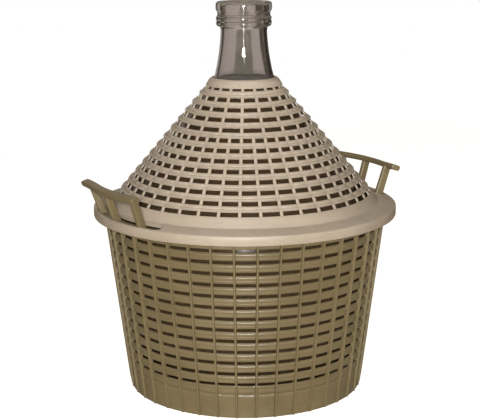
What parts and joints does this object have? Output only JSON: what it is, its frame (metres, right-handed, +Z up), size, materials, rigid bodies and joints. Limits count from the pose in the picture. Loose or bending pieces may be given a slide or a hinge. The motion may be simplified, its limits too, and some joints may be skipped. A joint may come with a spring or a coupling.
{
  "type": "wicker demijohn",
  "caption": "Large glass carboy with a flared neck, standing in a ribbed plastic imitation-wicker basket with carrying handles, under a windowed conical cover.",
  "frame": {"origin": "on the surface that the basket stands on, at the middle of the basket", "axes": "+Z up through the neck, +X towards the right handle, and the left handle on -X; the front, seen along +Y, has a handle on each side"},
  "size_m": [0.352, 0.3414, 0.4348],
  "materials": {
    "clear_glass": "clear, slightly grey-green bottle glass",
    "olive_plastic": "olive-brown moulded plastic with a soft sheen",
    "beige_plastic": "pale beige moulded plastic with a soft sheen"
  },
  "bodies": {
    "basket": {"basket": "olive_plastic", "handle_left": "olive_plastic", "handle_right": "olive_plastic"},
    "bottle": {"glass_bottle": "clear_glass"},
    "cover": {"cover": "beige_plastic"}
  },
  "joints": [
    {"name": "bottle_lift", "type": "slide", "parent": "basket", "child": "bottle", "axis": [0, 0, 1], "range_m": [0, 0.3]},
    {"name": "cover_lift", "type": "slide", "parent": "bottle", "child": "cover", "axis": [0, 0, 1], "range_m": [0, 0.3]}
  ]
}
